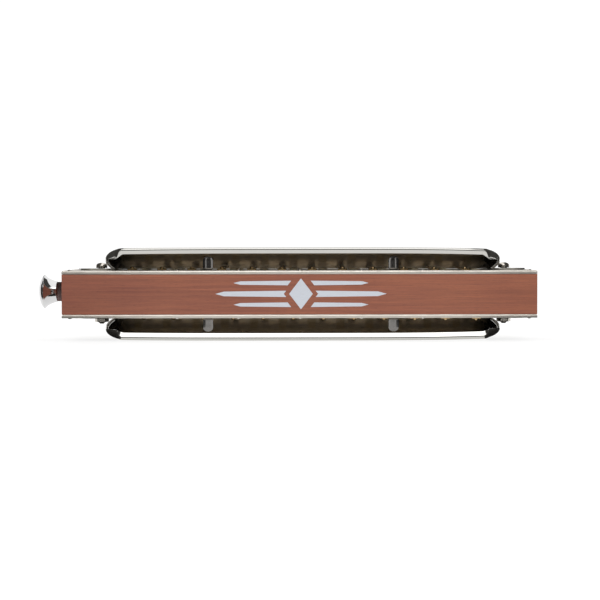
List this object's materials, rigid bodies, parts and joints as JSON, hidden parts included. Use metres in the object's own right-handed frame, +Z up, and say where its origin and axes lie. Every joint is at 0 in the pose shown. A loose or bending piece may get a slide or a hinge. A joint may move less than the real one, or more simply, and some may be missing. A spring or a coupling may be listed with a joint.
{
  "type": "chromatic harmonica",
  "caption": "Chromatic harmonica with a wooden comb between riveted reed plates, two open-backed metal covers, and a mouthpiece whose sprung slide is pressed in by a side knob.",
  "frame": {"origin": "on the flat crown of the bottom cover, which the harmonica rests on, below the middle of the comb", "axes": "+X along the length, away from the knob; +Y towards the player's mouth; +Z up, away from the surface it rests on"},
  "size_m": [0.1562, 0.0416, 0.0286],
  "materials": {
    "comb_wood": "satin",
    "reed_plate": "satin",
    "cover_chrome": "polished",
    "mouthpiece_chrome": "polished",
    "slide_metal": "satin",
    "knob_chrome": "polished",
    "support_steel": "satin",
    "fastener_nickel": "gloss",
    "spring_steel": "satin",
    "bumper_rubber": "matte",
    "reed_brass": "satin",
    "valve_film": "matte"
  },
  "bodies": {
    "harmonica": {"comb": "comb_wood", "top_reed_plate": "reed_plate", "bottom_reed_plate": "reed_plate", "top_cover": "cover_chrome", "bottom_cover": "cover_chrome", "mouthpiece": "mouthpiece_chrome", "slide_back_plate": "slide_metal", "slide_front_plate": "slide_metal", "return_spring": "spring_steel", "top_left_cover_support": "support_steel", "top_right_cover_support": "support_steel", "bottom_left_cover_support": "support_steel", "bottom_right_cover_support": "support_steel", "left_cover_bolt": "fastener_nickel", "right_cover_bolt": "fastener_nickel", "left_cover_nut": "fastener_nickel", "right_cover_nut": "fastener_nickel", "left_mouthpiece_screw": "fastener_nickel", "right_mouthpiece_screw": "fastener_nickel", "left_slide_bumper": "bumper_rubber", "right_slide_bumper": "bumper_rubber", "top_draw_reed_12": "reed_brass", "top_draw_reed_11": "reed_brass", "top_draw_reed_10": "reed_brass", "top_draw_reed_9": "reed_brass", "top_draw_reed_8": "reed_brass", "top_draw_reed_7": "reed_brass", "top_draw_reed_6": "reed_brass", "top_draw_reed_5": "reed_brass", "top_draw_reed_4": "reed_brass", "top_draw_reed_3": "reed_brass", "top_draw_reed_2": "reed_brass", "top_draw_reed_1": "reed_brass", "bottom_draw_reed_12": "reed_brass", "bottom_draw_reed_11": "reed_brass", "bottom_draw_reed_10": "reed_brass", "bottom_draw_reed_9": "reed_brass", "bottom_draw_reed_8": "reed_brass", "bottom_draw_reed_7": "reed_brass", "bottom_draw_reed_6": "reed_brass", "bottom_draw_reed_5": "reed_brass", "bottom_draw_reed_4": "reed_brass", "bottom_draw_reed_3": "reed_brass", "bottom_draw_reed_2": "reed_brass", "bottom_draw_reed_1": "reed_brass", "top_valve_12": "valve_film", "top_valve_11": "valve_film", "top_valve_10": "valve_film", "top_valve_9": "valve_film", "top_valve_8": "valve_film", "top_valve_7": "valve_film", "top_valve_6": "valve_film", "top_valve_5": "valve_film", "top_valve_4": "valve_film", "top_valve_3": "valve_film", "top_valve_2": "valve_film", "top_valve_1": "valve_film"},
    "slider": {"slide": "slide_metal", "knob": "knob_chrome", "knob_pin": "fastener_nickel"}
  },
  "joints": [
    {"name": "slide_press", "type": "slide", "parent": "harmonica", "child": "slider", "axis": [1, 0, 0], "range_m": [0, 0.00468], "stiffness_N_per_m": 350, "springref_m": -0.005, "deforming": ["return_spring"]}
  ]
}
